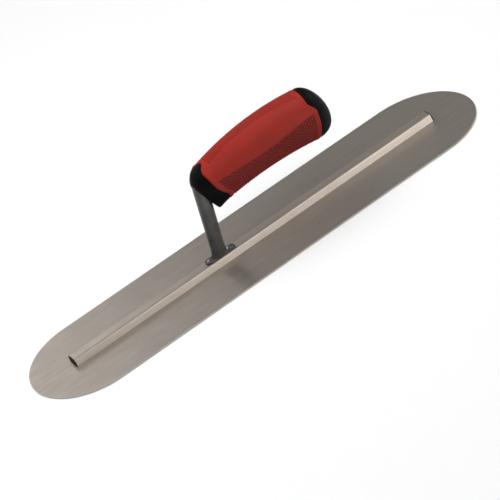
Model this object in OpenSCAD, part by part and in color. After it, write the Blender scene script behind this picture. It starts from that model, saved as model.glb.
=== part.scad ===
// Steel finishing trowel: a thin flat blade with round ends, a slotted rail that
// stiffens it, a cast post and a soft arched grip.
// X runs along the blade towards the back of the grip, Y across it and Z up.
// The origin is under the middle of the blade.

/* [Blade] */
// Length of the blade over its round ends
blade_l = 406.4; // [380:0.1:457.2]
// Width of the blade
blade_w = 101.6; // [90:0.1:127]
// Thickness of the blade
blade_t = 0.8; // [0.6:0.1:1.2]

/* [Rail] */
// Length of the rail between its end plugs
rail_l = 336; // [320:1:350]
// Width of the rail at its foot
rail_w = 11.7; // [11:0.1:14]
// Height of the rail
rail_h = 6; // [5.8:0.1:8]
// How far the rail's sides lean in, in degrees
rail_side_lean = 10; // [4:1:14]
// Distance from one blade stud to the next
stud_pitch = 22.6; // [20:0.1:32]

/* [Post] */
// Middle of the foot along the rail
foot_x = -31; // [-31.5:0.5:-30.5]
// Length of the foot
foot_l = 27; // [25:0.5:32]
// Distance between the two foot screws
screw_pitch = 17.8; // [17.4:0.1:19]
// How far the shank leans back, in degrees
shank_lean = 8.5; // [6:0.5:10]
// Diameter of the shank's neck
neck_d = 11.6; // [10.6:0.1:12]

/* [Grip] */
// Where the front end of the soft sleeve is
sleeve_front_x = -14.5; // [-15:0.5:-13]
// Where the back end of the soft sleeve is
sleeve_back_x = 77; // [72:0.5:84]
// Half of the grip's height at the front of the sleeve
grip_front_h = 18.1; // [17:0.1:19]
// Half of the grip's height at the back of the sleeve
grip_back_h = 21.3; // [20:0.1:23]
// Half width of the grip for each millimetre of half height
grip_oval = 0.92; // [0.88:0.01:1]
// Thickness of the soft sleeve
sleeve_t = 3.2; // [2:0.1:3.6]

/* [Hidden] */
$fn = 48;
fit_gap = 0.1;
ring_sides = 40;
function mix(a, b, t) = a + (b - a) * t;

// rail section, a T-slot that opens downwards
rail_z = blade_t;
rail_top_z = rail_z + rail_h;
rail_corner_r = 1.3;
lip_t = 1.6;
slot_w = 3.8;
cavity_w = 6;
cavity_h = 3;
plug_t = 0.8;
plug_spigot_l = 5;

// blade studs: a flush tail in the blade, a shank in the slot, a head in the cavity
stud_d = 3.4;
stud_head_d = 5.4;
stud_head_h = 1.4;
stud_tail_d = 5.6;
studs_each_side = floor((rail_l / 2 - plug_spigot_l - stud_head_d / 2) / stud_pitch);

// foot and its screws
foot_t = 1.3;
foot_w = 8.2;
foot_top_z = rail_top_z + foot_t;
screw_x = [foot_x - screw_pitch / 2, foot_x + screw_pitch / 2];
screw_d = 3;
screw_head_d = 5.2;
screw_cone_h = 1.1;
screw_dome_h = 0.6;
screw_hex_af = 2;
screw_hex_depth = 1.1;
spot_face_d = 5.8;
spot_face_h = 5;
nut_l = 5;
nut_w = cavity_w - 2 * fit_gap;
nut_h = 2.6;

// long bolt that pulls the grip onto the tang, and its washers
bolt_z = 65;
bolt_d = 6;
bolt_l = 80;
bolt_bore_d = 6.4;
bolt_head_d = 10;
bolt_head_h = 6;
bolt_hex_af = 5;
bolt_hex_depth = 3;
washer_d = 18;
washer_t = 1.6;
lock_washer_d = 10.4;
lock_washer_t = 1.6;
lock_washer_split = 1.2;
bolt_seat_x = 74;
bolt_head_x = bolt_seat_x + washer_t + lock_washer_t;
bolt_end_x = bolt_head_x - bolt_l;

// shank: it flares at the foot and leans back as a round neck, which turns level into the tang
shank_low_x = -31.1;
shank_low_half_w = 4.3;
flare_l = 2.4;
flare_h = 6.5;
neck_z = 44;
neck_overlap = 1;
neck_step = 0.05;
elbow_x = shank_x(bolt_z);
elbow_top = 3;
neck_bore_d = neck_d + 0.4;
flats_x = -8;
tang_end_x = 16;
tang_flats = 10;
function shank_x(z) = shank_low_x + (z - foot_top_z) * tan(shank_lean);

// grip: its centre line is a flat arch, and it swells towards its back
arch_peak = [40, 68.9];
arch_r = 238;
function arch_z(x) = arch_peak[1] - pow(x - arch_peak[0], 2) / (2 * arch_r);
function arch_lean(x) = atan((arch_peak[0] - x) / arch_r);
function grip_h(x) =
    let (from_back = (sleeve_back_x - x) / (sleeve_back_x - sleeve_front_x))
    grip_back_h - (grip_back_h - grip_front_h) * pow(from_back, 2);

// front face of the collar, and the lowest point of its edge
nose_face_h = 14.4;
nose_face_lean = 25;
nose_face_oval = 0.72;
nose_low = [-16, 42];
nose_steps = 10;

// end cap: a dome that sags behind the sleeve
dome_l = 16.8;
dome_drop = 9.4;
dome_lean = -11;
dome_fullness = 1.8;
dome_steps = 12;

// how the core locates the collar and the end cap
spigot_d = 24;
spigot_l = 3;
boss_d = 30;
boss_l = 5;
root_l = 2;
counterbore_d = 19;
head_pocket_d = 12;
grip_steps = 22;

// One closed ring of points: c is its middle [x, z], lean tips its top forward,
// a is its half height and b its half width.
function ring(c, lean, a, b) = [
    for (i = [0 : ring_sides - 1])
        let (t = 360 * i / ring_sides, up = a * cos(t))
        [c[0] - up * sin(lean), b * sin(t), c[1] + up * cos(lean)]
];

function grip_ring(x, inset) =
    ring([x, arch_z(x)], arch_lean(x), grip_h(x) - inset, grip_h(x) * grip_oval - inset);

// rings of the grip between its two seams
function grip_rings(inset) = [
    for (k = [0 : grip_steps]) grip_ring(mix(sleeve_front_x, sleeve_back_x, k / grip_steps), inset)
];

// u runs from 0 at the front seam to 1 at the collar's face
function nose_ring(u) =
    let (
        seam_lean = arch_lean(sleeve_front_x),
        seam_low = [
            sleeve_front_x + grip_front_h * sin(seam_lean),
            arch_z(sleeve_front_x) - grip_front_h * cos(seam_lean)
        ],
        lean = mix(seam_lean, nose_face_lean, u),
        h = mix(grip_front_h, nose_face_h, pow(u, 2)),
        low = mix(seam_low, nose_low, u)
    )
    ring([low[0] - h * sin(lean), low[1] + h * cos(lean)], lean, h, h * mix(grip_oval, nose_face_oval, u));

// u runs from 0 at the back seam to nearly 1 at the tip of the dome
function dome_ring(u) =
    let (
        h = grip_back_h * sqrt(1 - pow(u, dome_fullness)),
        z = arch_z(sleeve_back_x) - dome_drop * pow(u, 1.5),
        lean = mix(arch_lean(sleeve_back_x), dome_lean, u)
    )
    ring([sleeve_back_x + dome_l * u, z], lean, h, h * grip_oval);

// a ring across the lower shank, which ends just inside the round neck
function shank_ring(z) =
    let (
        flared = max(0, min(1, (z - foot_top_z) / flare_h)),
        risen = max(0, min(1, (z - foot_top_z) / (neck_z - foot_top_z))),
        r = neck_d / 2 - neck_step
    )
    ring(
        [shank_x(z), z],
        90 - shank_lean * flared,
        r + flare_l * (1 - sqrt(1 - pow(1 - flared, 2))),
        mix(shank_low_half_w, r, risen)
    );

// quads between ring k and ring j
function wall(k, j) = [
    for (i = [0 : ring_sides - 1])
        let (next = (i + 1) % ring_sides)
        [k * ring_sides + i, k * ring_sides + next, j * ring_sides + next, j * ring_sides + i]
];

// solid through a row of rings
module loft(rings) {
    last = len(rings) - 1;
    polyhedron(
        points = [for (r = rings) each r],
        faces = [
            [for (i = [ring_sides - 1 : -1 : 0]) i],
            for (k = [0 : last - 1]) each wall(k, k + 1),
            [for (i = [0 : ring_sides - 1]) last * ring_sides + i]
        ]
    );
}

// hollow shell between an outer and an inner row of rings
module shell(outer, inner) {
    last = len(inner) - 1;
    rings = [each outer, for (k = [last : -1 : 0]) inner[k]];
    polyhedron(
        points = [for (r = rings) each r],
        faces = [for (k = [0 : len(rings) - 1]) each wall(k, (k + 1) % len(rings))]
    );
}

// round bar along X
module along_x(x0, x1, d) {
    translate([x0, 0, bolt_z])
        rotate([0, 90, 0])
            cylinder(d = d, h = x1 - x0);
}

// children's +Z points out of the grip, square to the seam at x
module at_seam(x, outward) {
    translate([x, 0, arch_z(x)])
        rotate([0, outward * 90 - arch_lean(x), 0])
            children();
}

// one stud at each step, except where a nut of the foot takes its place
module at_studs() {
    for (i = [-studs_each_side : studs_each_side]) {
        x = i * stud_pitch;
        if (min([for (s = screw_x) abs(x - s)]) > (nut_l + stud_head_d) / 2)
            translate([x, 0, 0])
                children();
    }
}

module blade() {
    end_r = blade_w / 2;
    color("silver")
        difference() {
            linear_extrude(blade_t) {
                square([blade_l - blade_w, blade_w], center = true);
                for (side = [-1, 1])
                    translate([side * (blade_l / 2 - end_r), 0])
                        circle(end_r, $fn = 96);
            }
            at_studs() stud_tail();
        }
}

module stud_tail() {
    cylinder(h = blade_t, d1 = stud_tail_d, d2 = stud_d);
}

module blade_studs() {
    color("lightgray")
        at_studs() {
            stud_tail();
            translate([0, 0, blade_t]) cylinder(h = lip_t, d = stud_d);
            translate([0, 0, blade_t + lip_t]) cylinder(h = stud_head_h, d = stud_head_d);
        }
}

// sides that lean in and run smoothly into two round corners
module rail_outline() {
    corner_z = rail_h - rail_corner_r;
    corner_y = rail_w / 2 - corner_z * tan(rail_side_lean) - rail_corner_r / cos(rail_side_lean);
    touch = [
        corner_y + rail_corner_r * cos(rail_side_lean),
        corner_z + rail_corner_r * sin(rail_side_lean)
    ];
    polygon([
        [-rail_w / 2, 0], [rail_w / 2, 0], touch, [corner_y, rail_h], [-corner_y, rail_h], [-touch[0], touch[1]]
    ]);
    for (side = [-1, 1])
        translate([side * corner_y, corner_z])
            circle(rail_corner_r);
}

// lays a flat outline across the rail and runs it along X from x0
module run_x(x0, length) {
    translate([x0, 0, rail_z])
        rotate([90, 0, 90])
            linear_extrude(length)
                children();
}

module rail() {
    color("gainsboro")
        difference() {
            run_x(-rail_l / 2, rail_l)
                difference() {
                    rail_outline();
                    translate([-slot_w / 2, 0]) square([slot_w, lip_t]);
                    translate([-cavity_w / 2, lip_t]) square([cavity_w, cavity_h]);
                }
            for (x = screw_x)
                translate([x, 0, rail_z + lip_t])
                    cylinder(h = rail_h, d = screw_d);
        }
}

module rail_plugs() {
    color("black")
        for (side = [0, 1])
            mirror([side, 0, 0]) {
                run_x(rail_l / 2, plug_t) rail_outline();
                run_x(rail_l / 2 - plug_spigot_l, plug_spigot_l)
                    translate([-cavity_w / 2 + fit_gap, lip_t + fit_gap])
                        square([cavity_w - 2 * fit_gap, cavity_h - 2 * fit_gap]);
            }
}

module foot() {
    translate([foot_x, 0, rail_top_z])
        linear_extrude(foot_t) {
            square([foot_l - foot_w, foot_w], center = true);
            for (side = [-1, 1])
                translate([side * (foot_l - foot_w) / 2, 0])
                    circle(d = foot_w);
        }
}

// round bar on the shank's axis, from height z to past_elbow beyond the elbow's middle
module along_shank(z, past_elbow, d) {
    translate([shank_x(z), 0, z])
        rotate([0, shank_lean, 0])
            cylinder(d = d, h = (bolt_z - z) / cos(shank_lean) + past_elbow);
}

// level bar inside the grip, with two flats that stop the grip from turning
module tang() {
    difference() {
        along_x(elbow_x, tang_end_x, neck_d);
        for (side = [0, 1])
            mirror([0, side, 0])
                translate([flats_x, tang_flats / 2, bolt_z - neck_d])
                    cube([2 * tang_end_x, neck_d, 2 * neck_d]);
    }
}

module lower_shank() {
    flare_steps = 5;
    loft([
        shank_ring(foot_top_z - foot_t / 2),
        for (k = [0 : flare_steps]) shank_ring(foot_top_z + flare_h * k / flare_steps),
        shank_ring(neck_z + neck_overlap)
    ]);
}

module post() {
    color("dimgray")
        difference() {
            union() {
                foot();
                lower_shank();
                along_shank(neck_z, elbow_top, neck_d);
                tang();
            }
            for (x = screw_x)
                translate([x, 0, 0]) {
                    translate([0, 0, rail_top_z]) cylinder(h = foot_t, d = screw_d);
                    screw_cone();
                    translate([0, 0, foot_top_z]) cylinder(h = spot_face_h, d = spot_face_d);
                }
            along_x(bolt_end_x, tang_end_x, bolt_d);
        }
}

module screw_cone() {
    translate([0, 0, foot_top_z - screw_cone_h])
        cylinder(h = screw_cone_h, d1 = screw_d, d2 = screw_head_d);
}

// countersunk screws with a low domed top and a hexagon socket
module foot_screws() {
    low_z = rail_z + lip_t + fit_gap;
    dome_r = (pow(screw_head_d / 2, 2) + pow(screw_dome_h, 2)) / (2 * screw_dome_h);
    top_z = foot_top_z + screw_dome_h;
    color("silver")
        for (x = screw_x)
            translate([x, 0, 0])
                difference() {
                    union() {
                        translate([0, 0, low_z]) cylinder(h = foot_top_z - low_z, d = screw_d);
                        screw_cone();
                        intersection() {
                            translate([0, 0, foot_top_z]) cylinder(h = screw_dome_h, d = screw_head_d);
                            translate([0, 0, top_z - dome_r]) sphere(dome_r);
                        }
                    }
                    translate([0, 0, top_z - screw_hex_depth])
                        cylinder(h = screw_hex_depth, d = screw_hex_af / cos(30), $fn = 6);
                }
}

module foot_nuts() {
    color("gray")
        for (x = screw_x)
            translate([x, 0, rail_z + lip_t + cavity_h - nut_h])
                difference() {
                    translate([-nut_l / 2, -nut_w / 2, 0]) cube([nut_l, nut_w, nut_h]);
                    cylinder(h = nut_h, d = screw_d);
                }
}

// both start inside the core
module core_spigot() {
    at_seam(sleeve_front_x, -1)
        translate([0, 0, -root_l])
            cylinder(h = root_l + spigot_l, d = spigot_d);
}

module core_boss() {
    at_seam(sleeve_back_x, 1)
        translate([0, 0, -root_l])
            cylinder(h = root_l + boss_l, d = boss_d);
}

module front_collar() {
    color("black")
        difference() {
            loft([for (k = [nose_steps : -1 : 0]) nose_ring(sin(90 * k / nose_steps))]);
            core_spigot();
            along_shank(neck_z, elbow_top + fit_gap, neck_bore_d);
            along_x(elbow_x, sleeve_front_x, neck_bore_d);
        }
}

module handle_core() {
    color("dimgray")
        difference() {
            union() {
                loft(grip_rings(sleeve_t));
                core_spigot();
                core_boss();
            }
            tang();
            along_x(tang_end_x - 1, bolt_seat_x, bolt_bore_d);
            along_x(bolt_seat_x, sleeve_back_x + 2 * boss_l, counterbore_d);
        }
}

module grip_sleeve() {
    color("firebrick")
        shell(grip_rings(0), grip_rings(sleeve_t));
}

module handle_bolt() {
    color("silver")
        difference() {
            union() {
                along_x(bolt_end_x, bolt_head_x, bolt_d);
                along_x(bolt_head_x, bolt_head_x + bolt_head_h, bolt_head_d);
            }
            translate([bolt_head_x + bolt_head_h - bolt_hex_depth, 0, bolt_z])
                rotate([0, 90, 0])
                    cylinder(h = bolt_head_h, d = bolt_hex_af / cos(30), $fn = 6);
        }
}

module washer_ring(x, outer_d, thickness) {
    difference() {
        along_x(x, x + thickness, outer_d);
        along_x(x, x + thickness, bolt_bore_d);
    }
}

module bolt_washer() {
    color("silver")
        washer_ring(bolt_seat_x, washer_d, washer_t);
}

module lock_washer() {
    x = bolt_seat_x + washer_t;
    color("gray")
        difference() {
            washer_ring(x, lock_washer_d, lock_washer_t);
            translate([x, -lock_washer_split / 2, bolt_z])
                cube([lock_washer_t, lock_washer_split, lock_washer_d]);
        }
}

module end_cap() {
    color("black")
        difference() {
            loft([for (k = [0 : dome_steps]) dome_ring(sin(87 * k / dome_steps))]);
            core_boss();
            along_x(bolt_head_x, bolt_head_x + bolt_head_h + 1, head_pocket_d);
        }
}

blade();
blade_studs();
rail();
rail_plugs();
post();
foot_screws();
foot_nuts();
front_collar();
handle_core();
grip_sleeve();
handle_bolt();
bolt_washer();
lock_washer();
end_cap();
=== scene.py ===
"""Looks of the steel finishing trowel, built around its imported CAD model."""
import math

import bmesh
import bpy
import numpy as np
from mathutils import Matrix, Vector


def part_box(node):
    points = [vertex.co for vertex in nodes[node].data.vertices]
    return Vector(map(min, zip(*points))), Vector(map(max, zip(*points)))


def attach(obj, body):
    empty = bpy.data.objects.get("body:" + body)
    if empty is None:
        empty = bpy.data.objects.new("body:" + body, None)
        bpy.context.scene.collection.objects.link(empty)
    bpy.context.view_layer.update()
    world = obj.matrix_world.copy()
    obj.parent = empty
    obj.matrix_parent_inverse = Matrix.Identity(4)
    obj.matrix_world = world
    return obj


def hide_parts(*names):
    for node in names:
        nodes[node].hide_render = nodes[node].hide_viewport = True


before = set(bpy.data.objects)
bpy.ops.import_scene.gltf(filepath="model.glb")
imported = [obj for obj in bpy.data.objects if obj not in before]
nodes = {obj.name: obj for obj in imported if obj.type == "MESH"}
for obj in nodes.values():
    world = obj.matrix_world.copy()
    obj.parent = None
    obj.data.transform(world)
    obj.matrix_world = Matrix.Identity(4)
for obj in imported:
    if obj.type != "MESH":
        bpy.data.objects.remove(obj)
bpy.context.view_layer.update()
MM = 0.001

# ---------------------------------------------------------------- grip dimensions, as in the CAD source
# Lengths are in millimetres. section() turns these first ones into the grip's outer surface.
ARCH_PEAK_X, ARCH_PEAK_Z, ARCH_R = 40.0, 68.9, 238.0
FRONT_X, BACK_X = -14.5, 77.0
FRONT_H, BACK_H = 18.1, 21.3
OVAL = 0.92
SLEEVE_T = 3.2
NOSE_RUN, NOSE_H, NOSE_OVAL = 7.6, 14.4, 0.72
NOSE_LEAN = math.radians(25)
NOSE_LOW_X, NOSE_LOW_Z = -16.0, 42.0
DOME_L, DOME_FULLNESS = 16.8, 1.8
DOME_DROP, DOME_DROP_POWER = 9.4, 1.5
DOME_LEAN = math.radians(-11)
DOME_END = 0.9985

# seams between the sleeve and the two black ends, with angles in degrees off the top
FRONT_SEAM, FRONT_SEAM_REACH = -15.2, 5.0
FRONT_POINT_POWER = 24
SKIRT_START, SKIRT_SPAN = 78, 50
BACK_SEAM, BACK_SEAM_REACH = 74.0, 4.8
BACK_STEP_START, BACK_STEP_SPAN = 45, 24

# rolled edges that meet at the seams, and the rim of the collar's face
SLEEVE_EDGE_R = 0.7
SLEEVE_EDGE_STEPS = np.array([0, 0.05, 0.14, 0.28, 0.46, 0.7])
BEAD_H, BEAD_AT, BEAD_W = 0.22, 1.0, 1.3
SEAM_EDGE_R = 0.5
SEAM_EDGE_STEPS = np.array([0, 0.04, 0.15, 0.35, 0.6, 0.9])
SEAM_DROP = 0.12
SEAM_FADE = 0.2
SEAM_DEPTH = 1.6
NOSE_RIM_R = 1.5

# inner ends of the collar and the cap: their offset from the sleeve's inner surface, and the rings, as
# shares of the section, that close them and the collar's face
INNER_OFFSET = 0.1
FACE_RINGS = (0.1, 0.3, 0.5, 0.7, 0.85, 0.95)
END_RING = 0.1

# post, spigot, boss and bolt head that the collar and the cap fit round
FOOT_T = 1.3
SHANK_LOW_X = -31.1
SHANK_LEAN = math.radians(8.5)
NECK_BORE_R = 6.0
ELBOW_TOP = 3.1
SPIGOT_R, SPIGOT_L = 12.0, 3.0
BOSS_R, BOSS_L = 15.0, 5.0
HEAD_POCKET_R, HEAD_POCKET_PAST = 6.0, 1.0
CUT_PAST = 4.0

# moulded dots of the sleeve, in slightly sunk panels whose long edges are given in degrees off the top
DOT_PITCH = 2.4
DOT_COLUMNS = 52
DOT_R = 0.8
DOT_H = 0.6
PANEL_DEPTH = 0.5
PANEL_EDGE = 1.2
MEAN_R = 19.5
TOP_PANEL = (-8.0, 71.0)
SIDE_PANEL_INSET, SIDE_PANEL_END = 3.2, 75.5
TOP_EDGE, TOP_EDGE_DIP = 27, 9
SIDE_EDGE, SIDE_EDGE_DIP = 71, 16
DIP_START, DIP_L = -8, 80
# the painted shade in the gaps between the dots is halved on the top panel, where more light falls from
# above
TOP_PANEL_COS = 0.65
TOP_GAP_SHADE = 0.5


def mix(a, b, t):
    return a + (b - a) * t


def smoothstep(t):
    t = np.clip(t, 0, 1)
    return t * t * (3 - 2 * t)


def ring_angles(columns):
    return np.linspace(0, 2 * math.pi, columns, endpoint=False)


def section(s):
    """Middle, lean and half axes of the grip's outer ring at station s.

    Stations run from the collar's face to the cap's tip, and are X from FRONT_X to BACK_X.
    """
    x = np.clip(s, FRONT_X, BACK_X)
    lean = np.arctan((ARCH_PEAK_X - x) / ARCH_R)
    cx = x.copy()
    cz = ARCH_PEAK_Z - (x - ARCH_PEAK_X) ** 2 / (2 * ARCH_R)
    a = BACK_H - (BACK_H - FRONT_H) * ((BACK_X - x) / (BACK_X - FRONT_X)) ** 2
    b = a * OVAL
    # collar
    u = np.clip((FRONT_X - s) / NOSE_RUN, 0, 1)
    nose_lean = mix(lean, NOSE_LEAN, u)
    h = mix(FRONT_H, NOSE_H, u**2)
    low_x = mix(cx + FRONT_H * np.sin(lean), NOSE_LOW_X, u)
    low_z = mix(cz - FRONT_H * np.cos(lean), NOSE_LOW_Z, u)
    nose = s < FRONT_X
    cx = np.where(nose, low_x - h * np.sin(nose_lean), cx)
    cz = np.where(nose, low_z + h * np.cos(nose_lean), cz)
    a = np.where(nose, h, a)
    b = np.where(nose, h * mix(OVAL, NOSE_OVAL, u), b)
    # end cap
    v = np.clip((s - BACK_X) / DOME_L, 0, DOME_END)
    dome = s > BACK_X
    h = BACK_H * np.sqrt(1 - v**DOME_FULLNESS)
    cx = np.where(dome, BACK_X + DOME_L * v, cx)
    cz = np.where(dome, cz - DOME_DROP * v**DOME_DROP_POWER, cz)
    a = np.where(dome, h, a)
    b = np.where(dome, h * OVAL, b)
    lean = np.where(nose, nose_lean, np.where(dome, mix(lean, DOME_LEAN, v), lean))
    return cx, cz, lean, a, b


def surface(s, t, lift, scale=1.0):
    """Points at stations s and angles t, where 0 is the top, lifted off the grip's outer surface.

    A scale below 1 shrinks their rings.
    """
    s, t, lift = np.broadcast_arrays(np.asarray(s, float), t, lift)
    cx, cz, lean, a, b = section(s)
    up = (a + lift) * scale * np.cos(t)
    return np.stack([cx - up * np.sin(lean), (b + lift) * scale * np.sin(t), cz + up * np.cos(lean)], -1)


def ring_middle(s):
    """The one point in the middle of the ring at station s."""
    cx, cz = section(np.array(s))[:2]
    return np.array([[float(cx), 0, float(cz)]])


def off_top(t):
    """Degrees between the angle t and the top of the grip."""
    return np.degrees(np.abs((t + math.pi) % (2 * math.pi) - math.pi))


def front_seam(t):
    """Station where the collar ends: it reaches back in a point on top and in a broad skirt underneath."""
    point = np.maximum(np.cos(t), 0) ** FRONT_POINT_POWER
    skirt = smoothstep((off_top(t) - SKIRT_START) / SKIRT_SPAN)
    return FRONT_SEAM + FRONT_SEAM_REACH * point + FRONT_SEAM_REACH * skirt


def back_seam(t):
    """Station where the end cap begins: it reaches forward on top."""
    return BACK_SEAM + BACK_SEAM_REACH * smoothstep((off_top(t) - BACK_STEP_START) / BACK_STEP_SPAN)


def lip(e, r):
    """How far a rounded end drops at a distance e from it."""
    inside = np.clip(r - e, 0, r)
    return -(r - np.sqrt(r * r - inside * inside))


# ---------------------------------------------------------------- mesh helpers
def link(name, mesh):
    o = bpy.data.objects.new(name, mesh)
    bpy.context.scene.collection.objects.link(o)
    return o


def shade_smooth(mesh):
    mesh.polygons.foreach_set("use_smooth", [True] * len(mesh.polygons))


def grid_faces(rows, columns, closed_rows):
    """Quads of a grid whose columns close on themselves."""
    i = np.arange(rows if closed_rows else rows - 1)[:, None]
    j = np.arange(columns)[None, :]
    k, n = (i + 1) % rows, (j + 1) % columns
    quads = np.stack([i * columns + j, k * columns + j, k * columns + n, i * columns + n], -1)
    return quads.reshape(-1, 4)


def tube(name, rows, ends=None):
    """Closed mesh through rows of points.

    ends are the two points that close it; without them the last row joins the first.
    """
    rows = np.asarray(rows)
    count, columns = rows.shape[:2]
    faces = grid_faces(count, columns, ends is None).tolist()
    points = rows.reshape(-1, 3)
    if ends is not None:
        low, high = len(points), len(points) + 1
        points = np.vstack([points, ends[0], ends[1]])
        last = (count - 1) * columns
        for j in range(columns):
            n = (j + 1) % columns
            faces.append([low, j, n])
            faces.append([high, last + n, last + j])
    mesh = bpy.data.meshes.new(name)
    mesh.from_pydata((points * MM).tolist(), [], faces)
    shade_smooth(mesh)
    mesh.update()
    return link(name, mesh)


def finished(o, kind, **settings):
    """Adds one modifier and bakes it into the mesh."""
    modifier = o.modifiers.new(kind.title(), kind)
    for key, value in settings.items():
        setattr(modifier, key, value)
    bpy.context.view_layer.update()
    baked = bpy.data.meshes.new_from_object(o.evaluated_get(bpy.context.evaluated_depsgraph_get()))
    o.modifiers.clear()
    old = o.data
    o.data = baked
    bpy.data.meshes.remove(old)
    return o


def welded_copy(node, name, weld_mm=0.002, flat_degrees=0.5):
    """Copy of a CAD node's mesh with its split corners joined and its flat faces whole."""
    mesh = nodes[node].data.copy()
    bm = bmesh.new()
    bm.from_mesh(mesh)
    bmesh.ops.remove_doubles(bm, verts=bm.verts, dist=weld_mm * MM)
    flat = math.radians(flat_degrees)
    bmesh.ops.dissolve_limit(bm, angle_limit=flat, verts=bm.verts, edges=bm.edges)
    bm.to_mesh(mesh)
    bm.free()
    mesh.materials.clear()
    return link(name, mesh)


def softened(node, name, width_mm, segments=2, sharp_degrees=35):
    """Copy of a CAD node with its sharp edges rounded."""
    o = welded_copy(node, name)
    finished(
        o,
        "BEVEL",
        width=width_mm * MM,
        segments=segments,
        limit_method="ANGLE",
        angle_limit=math.radians(sharp_degrees),
        use_clamp_overlap=True,
        harden_normals=False,
    )
    shade_smooth(o.data)
    return finished(o, "WEIGHTED_NORMAL", keep_sharp=True, weight=100)


def place(o, slot, material, *replaced):
    """Gives a new piece its material and body, and hides the CAD nodes that it stands for. The slot is not
    used.
    """
    o.data.materials.clear()
    o.data.materials.append(material)
    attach(o, "root")
    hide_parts(*replaced)


# ---------------------------------------------------------------- material helpers
class Finish:
    """A node material under construction. Keywords set sockets of its shader, with _ for a space."""

    def __init__(self, name, **sockets):
        self.material = bpy.data.materials.new(name)
        self.material.use_nodes = True
        self.tree = self.material.node_tree
        self.tree.nodes.clear()
        out = self.add("ShaderNodeOutputMaterial")
        self.bsdf = self.add("ShaderNodeBsdfPrincipled")
        self.wire(self.bsdf.outputs[0], out.inputs["Surface"])
        for key, value in sockets.items():
            self.bsdf.inputs[key.replace("_", " ")].default_value = value

    def add(self, kind, **settings):
        node = self.tree.nodes.new(kind)
        for key, value in settings.items():
            setattr(node, key, value)
        return node

    def wire(self, source, target):
        self.tree.links.new(source, target)

    def noise(self, scale, stretch=(1, 1, 1), detail=3.0, roughness=0.55):
        """Noise in object space. scale is in cycles a metre, stretch multiplies it along X, Y and Z."""
        mapping = self.add("ShaderNodeMapping")
        mapping.inputs["Scale"].default_value = stretch
        self.wire(self.add("ShaderNodeTexCoord").outputs["Object"], mapping.inputs["Vector"])
        node = self.add("ShaderNodeTexNoise")
        node.inputs["Scale"].default_value = scale
        node.inputs["Detail"].default_value = detail
        node.inputs["Roughness"].default_value = roughness
        self.wire(mapping.outputs[0], node.inputs["Vector"])
        return node.outputs["Fac"]

    def blend(self, factor, first, second):
        """Colour that runs from first to second as factor runs from 0 to 1."""
        node = self.add("ShaderNodeMix", data_type="RGBA")
        self.wire(factor, node.inputs[0])
        for socket, value in ((node.inputs[6], first), (node.inputs[7], second)):
            if isinstance(value, tuple):
                socket.default_value = (*value, 1)
            else:
                self.wire(value, socket)
        return node.outputs[2]

    def levels(self, value, low, high, to_low=0.0, to_high=1.0):
        """Value with its range from low to high stretched to to_low and to_high, and cut off there."""
        node = self.add("ShaderNodeMapRange")
        for socket, number in zip(node.inputs[1:5], (low, high, to_low, to_high)):
            socket.default_value = number
        self.wire(value, node.inputs[0])
        return node.outputs[0]

    def bumps(self, *heights):
        """Heights given as (socket, millimetres), laid over each other."""
        normal = None
        for height, depth in heights:
            node = self.add("ShaderNodeBump")
            node.inputs["Strength"].default_value = 1
            node.inputs["Distance"].default_value = depth * MM
            self.wire(height, node.inputs["Height"])
            if normal:
                self.wire(normal, node.inputs["Normal"])
            normal = node.outputs[0]
        self.wire(normal, self.bsdf.inputs["Normal"])

    def colour(self, socket):
        self.wire(socket, self.bsdf.inputs["Base Color"])

    def roughness(self, socket):
        self.wire(socket, self.bsdf.inputs["Roughness"])


def grey(v, warm=0.0):
    """Grey of value v, warmed towards red and away from blue by that share."""
    return (v * (1 + warm), v, v * (1 - warm))


def brushed(name, dark, light, rough, metallic, grain_mm=0.004):
    """Metal with a grain that runs along X: broad streaks, hairlines and a few worn clouds."""
    m = Finish(name, Metallic=metallic)
    streaks = m.noise(1, (14, 380, 380), detail=3)
    clouds = m.noise(45, (1, 2.4, 2.4), detail=5, roughness=0.6)
    hairlines = m.noise(1, (30, 1900, 1900), detail=3)
    fine = m.noise(1, (110, 5200, 5200), detail=2)
    tone = m.blend(m.levels(streaks, 0.25, 0.75), grey(dark, 0.12), grey(light, 0.1))
    tone = m.blend(m.levels(hairlines, 0.5, 0.75, 0, 0.5), tone, grey(dark * 0.8, 0.13))
    m.colour(m.blend(m.levels(clouds, 0.4, 0.75, 0, 0.4), tone, grey(dark * 0.85, 0.14)))
    m.roughness(m.levels(clouds, 0.25, 0.75, rough[0], rough[1]))
    m.bumps((hairlines, 1.5 * grain_mm), (fine, grain_mm))
    return m.material


def plated(name, tone):
    """Zinc plate or ground steel, finely pitted and stained."""
    m = Finish(name, Metallic=1.0)
    grain = m.noise(1400, detail=3)
    stains = m.noise(260, detail=4)
    m.colour(m.blend(m.levels(stains, 0.35, 0.7), grey(tone, 0.01), grey(tone * 0.78, 0.04)))
    m.roughness(m.levels(stains, 0.3, 0.7, 0.24, 0.42))
    m.bumps((grain, 0.006))
    return m.material


def cast_coat(name):
    """Dark satin coat on a cast part."""
    m = Finish(name, Metallic=0.6)
    grain = m.noise(900, detail=4, roughness=0.6)
    swirls = m.noise(120, detail=3)
    m.colour(m.blend(m.levels(swirls, 0.3, 0.7), grey(0.085, 0.02), grey(0.12, 0.03)))
    m.roughness(m.levels(grain, 0.3, 0.7, 0.38, 0.5))
    m.bumps((swirls, 0.05), (grain, 0.02))
    return m.material


def moulded(name, tone, rough, depth=0.02):
    """Matt black moulded plastic with a spark-eroded texture."""
    m = Finish(name, Specular_IOR_Level=0.06)
    grain = m.noise(2200, detail=2)
    worn = m.noise(90, detail=5)
    m.colour(m.blend(m.levels(worn, 0.45, 0.75), grey(tone), grey(tone * 1.9)))
    m.roughness(m.levels(worn, 0.3, 0.7, rough, rough + 0.12))
    m.bumps((grain, depth))
    return m.material


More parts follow.
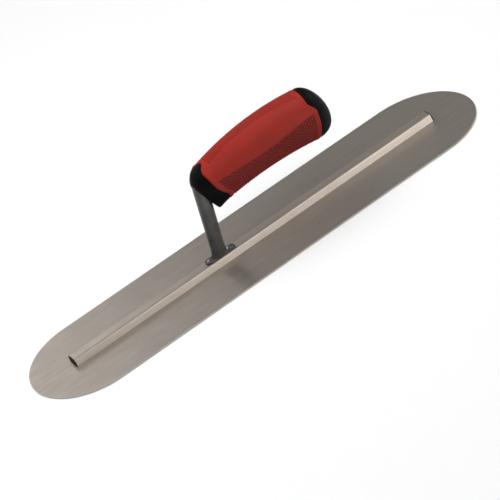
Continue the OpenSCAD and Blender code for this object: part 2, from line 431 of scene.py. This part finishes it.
def soft_rubber(name):
    """Red rubber with painted shade in the gaps between the moulded dots, which the mesh marks in a vertex
    attribute.
    """
    m = Finish(name, Specular_IOR_Level=0.2)
    clouds = m.noise(60, detail=5, roughness=0.6)
    grain = m.noise(2600, detail=2)
    # painted shade: a vertex attribute of the sleeve darkens the gaps between the moulded dots to a deep
    # red
    relief_and_painted_shade = m.add("ShaderNodeAttribute", attribute_name="relief_and_painted_shade")
    skin = m.blend(m.levels(clouds, 0.35, 0.7), (0.35, 0.016, 0.008), (0.29, 0.02, 0.012))
    m.colour(m.blend(m.levels(relief_and_painted_shade.outputs["Fac"], 0.0, 0.8), (0.14, 0.009, 0.006), skin))
    m.roughness(m.levels(clouds, 0.3, 0.7, 0.46, 0.6))
    m.bumps((grain, 0.02), (clouds, 0.06))
    return m.material


BLADE_STEEL = brushed("blade_steel", 0.47, 0.53, (0.38, 0.47), 0.88)
RAIL_ALUMINIUM = brushed("rail_aluminium", 0.64, 0.7, (0.42, 0.5), 0.95)
STUD_STEEL = plated("stud_steel", 0.54)
FASTENER_STEEL = plated("fastener_steel", 0.5)
POST_COATING = cast_coat("post_coating")
COLLAR_PLASTIC = moulded("collar_plastic", 0.003, 0.45)
PLUG_PLASTIC = moulded("plug_plastic", 0.01, 0.5)
CORE_PLASTIC = moulded("core_plastic", 0.03, 0.5)
SLEEVE_RUBBER = soft_rubber("sleeve_rubber")


# ---------------------------------------------------------------- soft sleeve
def panel_depth(s, t):
    """Distance in millimetres inside the nearest dotted panel, negative outside."""
    dip = np.sin(math.pi * np.clip((s - DIP_START) / DIP_L, 0, 1))
    top_edge = TOP_EDGE - TOP_EDGE_DIP * dip
    side_edge = SIDE_EDGE + SIDE_EDGE_DIP * dip
    per_degree = math.radians(MEAN_R)
    top_ends = np.minimum(s - TOP_PANEL[0], TOP_PANEL[1] - s)
    side_ends = np.minimum(s - front_seam(t) - SIDE_PANEL_INSET, SIDE_PANEL_END - s)
    top = np.minimum((top_edge - off_top(t)) * per_degree, top_ends)
    side = np.minimum((off_top(t) - side_edge) * per_degree, side_ends)
    return np.maximum(top, side)


def dots(s, t):
    """Height of the moulded texture and its tone, a painted shade that is 0 in the gaps between the dots
    and 1 on the skin.

    The texture is staggered dots in sunk panels.
    """
    step_s = DOT_PITCH * math.sqrt(0.75)
    step_t = 2 * math.pi / DOT_COLUMNS
    row = np.round(s / step_s)
    shift = 0.5 * (row % 2)
    column = np.round(t / step_t - shift)
    dot_s, dot_t = row * step_s, (column + shift) * step_t
    d = np.hypot(s - dot_s, (t - dot_t) * MEAN_R)
    shown = panel_depth(dot_s, dot_t) > PANEL_EDGE
    dome = np.sqrt(np.clip(1 - (d / DOT_R) ** 2, 0, 1)) * shown
    sunk = smoothstep(panel_depth(s, t) / PANEL_EDGE)
    # painted shade in the gaps, halved on top where the light is stronger
    gap_shade = np.where(np.cos(t) > TOP_PANEL_COS, TOP_GAP_SHADE, 1.0)
    return DOT_H * dome - PANEL_DEPTH * sunk, 1 - sunk * (1 - dome) * gap_shade


def make_sleeve(columns=380, step=0.33, inner_rows=24):
    t = ring_angles(columns)
    front, back = front_seam(t), back_seam(t)
    edge = SLEEVE_EDGE_STEPS[-1]
    shares = np.linspace(0, 1, int((BACK_X - FRONT_X) / step))[1:-1]
    stations = [front + d for d in SLEEVE_EDGE_STEPS]
    stations += [mix(front + edge, back - edge, share) for share in shares]
    stations += [back - d for d in SLEEVE_EDGE_STEPS[::-1]]
    s = np.array(stations)
    e = np.minimum(s - front, back - s)
    # the first value is the dots' height, tone the painted shade in the gaps between them
    relief_and_painted_shade, tone = dots(s, t[None, :])
    bead = BEAD_H * np.exp(-(((e - BEAD_AT) / BEAD_W) ** 2))
    outer = surface(s, t[None, :], lip(e, SLEEVE_EDGE_R) + bead + relief_and_painted_shade)
    inner_shares = np.linspace(0, 1, inner_rows)[:, None]
    inner = surface(mix(front[None, :], back[None, :], inner_shares), t[None, :], -SLEEVE_T)
    edge_front = surface(front, t, -SEAM_DEPTH)[None]
    edge_back = surface(back, t, -SEAM_DEPTH)[None]
    rows = np.concatenate([outer, edge_back, inner[::-1], edge_front])
    o = tube("grip_soft_sleeve", rows)
    # vertex attribute of painted shade: the gaps between the dots darkened, the rest of the mesh left at 1
    painted_gap_shades = np.ones(rows.shape[:2])
    painted_gap_shades[: len(tone)] = tone
    o.data.attributes.new("relief_and_painted_shade", "FLOAT", "POINT").data.foreach_set("value", painted_gap_shades.ravel())
    return o


place(make_sleeve(), "sleeve_rubber", SLEEVE_RUBBER, "grip_sleeve")


# ---------------------------------------------------------------- collar and end cap
def seam_frame(x):
    """Middle of the grip's section at x, in millimetres, and the direction of its centre line there."""
    rise = ARCH_PEAK_X - x
    return Vector((x, 0, ARCH_PEAK_Z - rise**2 / (2 * ARCH_R))), Vector((ARCH_R, 0, rise)).normalized()


def cutter(name, a, b, radius, sides=64):
    """Bar from a to b that is only subtracted, to leave a bore."""
    a, b = Vector(a), Vector(b)
    mesh = bpy.data.meshes.new(name)
    bm = bmesh.new()
    turn = (b - a).to_track_quat("Z", "Y").to_matrix().to_4x4()
    length = (b - a).length
    bmesh.ops.create_cone(bm, cap_ends=True, segments=sides, radius1=radius, radius2=radius, depth=length)
    bm.transform(Matrix.Scale(MM, 4) @ Matrix.Translation((a + b) / 2) @ turn)
    bm.to_mesh(mesh)
    bm.free()
    return link(name, mesh)


def carve(o, *cutters):
    """Subtracts the cutters from o and removes them."""
    for tool in cutters:
        finished(o, "BOOLEAN", operation="DIFFERENCE", object=tool, solver="EXACT")
        bpy.data.objects.remove(tool)
    return o


def make_collar(columns=240, body_rows=40, rim_rows=9):
    t = ring_angles(columns)
    seam = front_seam(t)
    face = FRONT_X - NOSE_RUN
    rows = [surface(face, t, -NOSE_RIM_R, share) for share in FACE_RINGS]
    for e in NOSE_RIM_R * (1 - np.cos(np.linspace(0, math.pi / 2, rim_rows))):
        rows.append(surface(face + e, t, lip(e, NOSE_RIM_R)))
    for share in np.linspace(0, 1, body_rows)[1:-1]:
        s = mix(face + NOSE_RIM_R, seam - SEAM_EDGE_STEPS[-1], share)
        rows.append(surface(s, t, -SEAM_DROP * smoothstep((share - (1 - SEAM_FADE)) / SEAM_FADE)))
    for e in SEAM_EDGE_STEPS[::-1]:
        rows.append(surface(seam - e, t, lip(e, SEAM_EDGE_R) - SEAM_DROP))
    rows.append(surface(seam, t, -SEAM_DEPTH))
    rows.append(surface(seam, t, INNER_OFFSET - SLEEVE_T))
    rows.append(surface(FRONT_X, t, -INNER_OFFSET - SLEEVE_T))
    rows.append(surface(FRONT_X, t, -INNER_OFFSET - SLEEVE_T, END_RING))
    return tube("grip_collar", rows, (ring_middle(face), ring_middle(FRONT_X)))


def make_cap(columns=240, dome_rows=48, tip_gap=0.02):
    t = ring_angles(columns)
    seam = back_seam(t)
    tip = BACK_X + DOME_L
    rows = [
        surface(BACK_X, t, -INNER_OFFSET - SLEEVE_T, END_RING),
        surface(BACK_X, t, -INNER_OFFSET - SLEEVE_T),
        surface(seam, t, INNER_OFFSET - SLEEVE_T),
        surface(seam, t, -SEAM_DEPTH),
    ]
    for e in SEAM_EDGE_STEPS:
        rows.append(surface(seam + e, t, lip(e, SEAM_EDGE_R) - SEAM_DROP))
    for share in np.sin(np.linspace(0, math.pi / 2, dome_rows))[1:]:
        s = mix(seam + SEAM_EDGE_STEPS[-1], tip, share)
        rows.append(surface(s, t, -SEAM_DROP * (1 - smoothstep(share / SEAM_FADE))))
    return tube("grip_end_cap", rows, (ring_middle(BACK_X), ring_middle(tip) + [tip_gap, 0, 0]))


bolt_low, bolt_high = (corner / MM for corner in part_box("handle_bolt"))
bolt_z = (bolt_low.z + bolt_high.z) / 2
pocket_end = bolt_high.x + HEAD_POCKET_PAST
foot_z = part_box("rail")[1].z / MM + FOOT_T
shank_low = Vector((SHANK_LOW_X, 0, foot_z))
elbow = Vector((SHANK_LOW_X + (bolt_z - foot_z) * math.tan(SHANK_LEAN), 0, bolt_z))
along_shank = (elbow - shank_low).normalized()
front_mid, front_axis = seam_frame(FRONT_X)
back_mid, back_axis = seam_frame(BACK_X)

collar = carve(
    make_collar(),
    cutter("cut_spigot", front_mid - front_axis * SPIGOT_L, front_mid + front_axis * CUT_PAST, SPIGOT_R),
    cutter("cut_neck", shank_low, elbow + along_shank * ELBOW_TOP, NECK_BORE_R),
    cutter("cut_tang", elbow, (FRONT_X + CUT_PAST, 0, bolt_z), NECK_BORE_R),
)
place(collar, "collar_plastic", COLLAR_PLASTIC, "front_collar")

cap = carve(
    make_cap(),
    cutter("cut_boss", back_mid - back_axis * CUT_PAST, back_mid + back_axis * BOSS_L, BOSS_R),
    cutter("cut_head", (BACK_X - CUT_PAST, 0, bolt_z), (pocket_end, 0, bolt_z), HEAD_POCKET_R),
)
place(cap, "collar_plastic", COLLAR_PLASTIC, "end_cap")


# ---------------------------------------------------------------- cast post
def make_post(voxel_mm=0.3, smoothing=5):
    """The CAD post with its edges and corners run together, as a casting's are."""
    o = link("cast_post", nodes["post"].data.copy())
    finished(o, "REMESH", mode="VOXEL", voxel_size=voxel_mm * MM, adaptivity=0)
    finished(o, "SMOOTH", factor=0.5, iterations=smoothing)
    finished(o, "DECIMATE", ratio=0.5)
    shade_smooth(o.data)
    return o


place(make_post(), "post_coating", POST_COATING, "post")

# ---------------------------------------------------------------- blade, rail and fasteners
place(softened("blade", "blade_sheet", 0.12), "blade_steel", BLADE_STEEL, "blade")
place(softened("rail", "rail_bar", 0.15), "rail_aluminium", RAIL_ALUMINIUM, "rail")
place(softened("rail_plugs", "rail_end_plugs", 0.2, segments=3), "plug_plastic", PLUG_PLASTIC, "rail_plugs")
place(softened("foot_screws", "post_screws", 0.12), "fastener_steel", FASTENER_STEEL, "foot_screws")


def repaint(node, material):
    """Gives a CAD node that stays as it is its new material."""
    if not nodes[node].material_slots:
        nodes[node].data.materials.append(material)
    for slot in nodes[node].material_slots:
        slot.material = material


repaint("blade_studs", STUD_STEEL)
repaint("handle_core", CORE_PLASTIC)
for fastener in ("foot_nuts", "handle_bolt", "bolt_washer", "lock_washer"):
    repaint(fastener, FASTENER_STEEL)


# ---------------------------------------------------------------- floor, light and camera
def make_floor(half_width=9.0, gap_mm=0.4):
    mesh = bpy.data.meshes.new("floor")
    r = half_width
    mesh.from_pydata([(-r, -r, 0), (r, -r, 0), (r, r, 0), (-r, r, 0)], [], [(0, 1, 2, 3)])
    m = Finish("floor_paint", Roughness=0.9, Specular_IOR_Level=0.1)
    m.colour(m.blend(m.noise(3), grey(0.86), grey(0.88)))
    mesh.materials.append(m.material)
    o = link("floor", mesh)
    o.location.z = -gap_mm * MM


def softbox(name, centre, aim, size, radiance, shines):
    """Rectangular light that either lights matt surfaces ("matt") or is seen in glossy ones ("gloss")."""
    data = bpy.data.lights.new(name, "AREA")
    data.shape = "RECTANGLE"
    data.size, data.size_y = size
    data.energy = radiance * math.pi * size[0] * size[1]
    o = bpy.data.objects.new(name, data)
    bpy.context.scene.collection.objects.link(o)
    o.location = centre
    o.rotation_euler = (Vector(aim) - Vector(centre)).to_track_quat("-Z", "Y").to_euler()
    o.visible_glossy = shines == "gloss"
    o.visible_diffuse = shines == "matt"


def make_world(backdrop=0.93, fill=0.1):
    """A pale backdrop that gives only a little fill light."""
    world = bpy.data.worlds.new("studio")
    bpy.context.scene.world = world
    world.use_nodes = True
    tree = world.node_tree
    tree.nodes.clear()
    out = tree.nodes.new("ShaderNodeOutputWorld")
    seen, unseen = tree.nodes.new("ShaderNodeBackground"), tree.nodes.new("ShaderNodeBackground")
    seen.inputs[0].default_value = (*grey(backdrop), 1)
    unseen.inputs[0].default_value = (*grey(fill), 1)
    choose = tree.nodes.new("ShaderNodeMixShader")
    tree.links.new(tree.nodes.new("ShaderNodeLightPath").outputs["Is Camera Ray"], choose.inputs[0])
    tree.links.new(unseen.outputs[0], choose.inputs[1])
    tree.links.new(seen.outputs[0], choose.inputs[2])
    tree.links.new(choose.outputs[0], out.inputs[0])


def make_camera(azimuth, elevation, roll, distance, lens, shift, sensor_width=36):
    """Camera that looks at the origin. The angles are in degrees, and azimuth 0 looks along +Y."""
    azimuth, elevation, roll = (math.radians(a) for a in (azimuth, elevation, roll))
    level = Vector((math.cos(azimuth), math.sin(azimuth), 0))
    back = Vector((
        math.sin(azimuth) * math.cos(elevation),
        -math.cos(azimuth) * math.cos(elevation),
        math.sin(elevation),
    ))
    right = math.cos(roll) * level + math.sin(roll) * back.cross(level)
    up = back.cross(right)
    data = bpy.data.cameras.new("camera")
    data.sensor_width = sensor_width
    data.lens = lens
    data.shift_x, data.shift_y = shift
    camera = bpy.data.objects.new("camera", data)
    bpy.context.scene.collection.objects.link(camera)
    turn = Matrix((right, up, back)).transposed().to_4x4()
    camera.matrix_world = Matrix.Translation(back * distance) @ turn
    bpy.context.scene.camera = camera


make_floor()
make_world()
softbox("top_box", (-0.1, 0.1, 1.6), (0, 0, 0), size=(2.4, 2.4), radiance=2.65, shines="matt")
softbox("far_box", (-0.5, 1.4, 0.9), (0, 0, 0), size=(1.56, 0.9), radiance=1.4, shines="gloss")
softbox("near_box", (0.95, -1.5, 0.35), (0.1, 0, 0), size=(1.3, 0.6), radiance=3.7, shines="gloss")
softbox("near_high_box", (0.1, -1.0, 1.25), (0, 0, 0), size=(0.7, 0.5), radiance=1.6, shines="gloss")
softbox("right_box", (1.35, 0.0, 0.85), (0, 0, 0.04), size=(0.9, 0.7), radiance=5.5, shines="gloss")
make_camera(
    azimuth=-17.812,
    elevation=30.366,
    roll=-25.407,
    distance=1.883,
    lens=180,
    shift=(-0.0131, -0.0212),
)
bpy.context.scene.view_settings.view_transform = "Standard"
